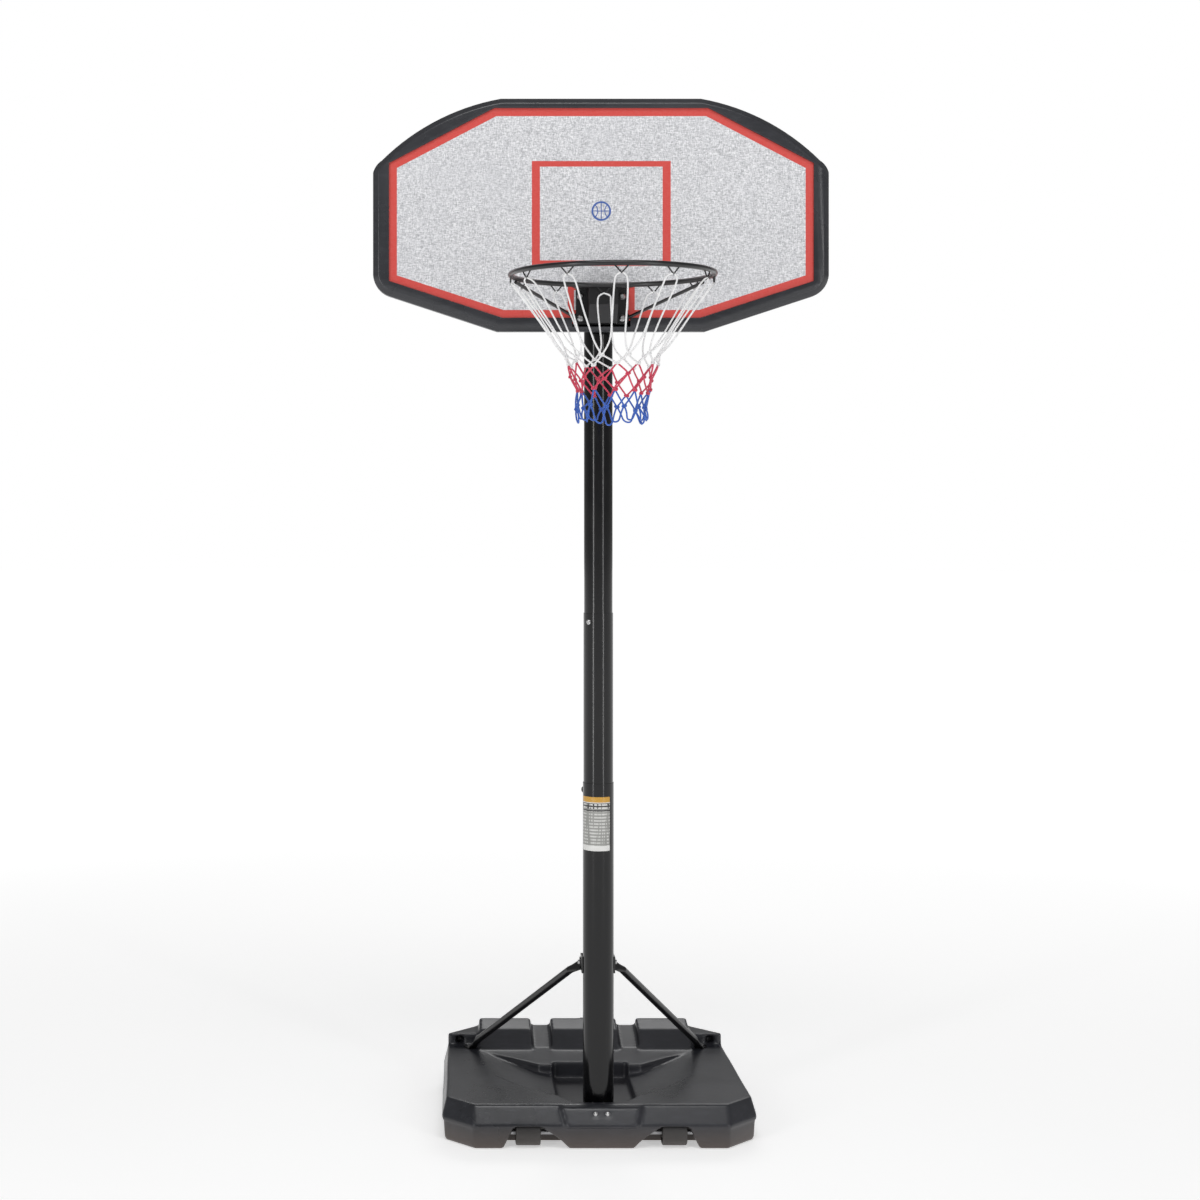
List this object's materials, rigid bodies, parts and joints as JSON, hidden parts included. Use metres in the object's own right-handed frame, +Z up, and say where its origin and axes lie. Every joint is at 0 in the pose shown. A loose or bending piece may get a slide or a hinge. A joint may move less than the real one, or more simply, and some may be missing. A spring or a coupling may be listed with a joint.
{
  "type": "portable basketball hoop",
  "caption": "Portable basketball hoop: wheeled tank base with rear struts, telescoping black pole, framed grey board, steel rim and three-colour net.",
  "frame": {"origin": "on the floor under the pole's axis, where the tank's underside meets the floor", "axes": "+Z up along the pole; the rim reaches towards -Y (front); the tank and its struts run back in +Y; +X is the player's right when facing the board"},
  "size_m": [1.105, 1.2021, 2.538],
  "materials": {
    "tank_plastic": "satin blow-moulded polyethylene",
    "wheel_plastic": "satin moulded plastic",
    "pole_paint": "gloss black powder coat",
    "rim_paint": "semi-gloss black powder coat",
    "bracket_paint": "semi-gloss black powder coat",
    "zinc": "bright zinc plate",
    "axle_steel": "cold-drawn steel",
    "frame_plastic": "satin charcoal moulding",
    "panel_print": "matt speckled light grey",
    "back_plastic": "satin charcoal moulding",
    "knob_plastic": "moulded",
    "cap_plastic": "moulded",
    "seal_rubber": "matt",
    "label_film": "printed film",
    "net_cord": "braided cord in white, red and blue"
  },
  "bodies": {
    "base": {"base_tank": "tank_plastic", "wheel_axle": "axle_steel", "pole_bottom": "pole_paint", "pole_foot_screws": "zinc", "pole_label": "label_film", "lock_boss": "pole_paint", "strut_saddle": "bracket_paint", "strut_left": "bracket_paint", "strut_right": "bracket_paint", "strut_top_bolts": "zinc", "strut_top_nuts": "zinc", "strut_foot_bolts": "zinc", "strut_inserts": "zinc"},
    "mast": {"pole_middle": "pole_paint", "pole_top": "pole_paint", "pole_cap": "cap_plastic", "joint_screws": "zinc", "board_panel": "panel_print", "board_frame": "frame_plastic", "board_back": "back_plastic", "board_screws": "zinc", "side_plate_left": "bracket_paint", "side_plate_right": "bracket_paint", "plate_bolts": "zinc", "plate_nuts": "zinc", "plate_sleeves": "zinc", "plate_screws": "zinc", "rim_ring": "rim_paint", "rim_bracket": "rim_paint", "rim_brace_left": "rim_paint", "rim_brace_right": "rim_paint", "net_hooks": "rim_paint", "rim_bolts": "zinc", "rim_washers": "zinc", "rim_nuts": "zinc", "net": "net_cord"},
    "left_wheel": {"wheel_left": "wheel_plastic"},
    "right_wheel": {"wheel_right": "wheel_plastic"},
    "lock_collar": {"lock_washer": "zinc"},
    "lock_handle": {"lock_screw": "zinc", "lock_knob": "knob_plastic"},
    "cap_collar": {"cap_seal": "seal_rubber"},
    "cap": {"fill_cap": "cap_plastic"}
  },
  "joints": [
    {"name": "mast_slide", "type": "slide", "parent": "base", "child": "mast", "axis": [0, 0, 1], "range_m": [0, 0.48]},
    {"name": "left_wheel_spin", "type": "hinge", "parent": "base", "child": "left_wheel", "pos_m": [-0.177, -0.08, 0.033], "axis": [1, 0, 0], "continuous": true},
    {"name": "right_wheel_spin", "type": "hinge", "parent": "base", "child": "right_wheel", "pos_m": [0.177, -0.08, 0.033], "axis": [1, 0, 0], "continuous": true},
    {"name": "lock_back", "type": "slide", "parent": "base", "child": "lock_collar", "axis": [0, 1, 0], "range_m": [0, 0.0084]},
    {"name": "lock_turn", "type": "hinge", "parent": "lock_collar", "child": "lock_handle", "pos_m": [0, 0.05, 0.842], "axis": [0, 1, 0], "range_deg": [0, 1440]},
    {"name": "cap_back", "type": "slide", "parent": "base", "child": "cap_collar", "axis": [0, 1, 0], "range_m": [0, 0.0122]},
    {"name": "cap_turn", "type": "hinge", "parent": "cap_collar", "child": "cap", "pos_m": [0, 0.55, 0.124], "axis": [0, 1, 0], "range_deg": [0, 1080]}
  ],
  "couplings": [
    {"joint": "lock_back", "follows": "lock_turn", "m_per_rad": 0.00031831},
    {"joint": "cap_back", "follows": "cap_turn", "m_per_rad": 0.00063662}
  ]
}
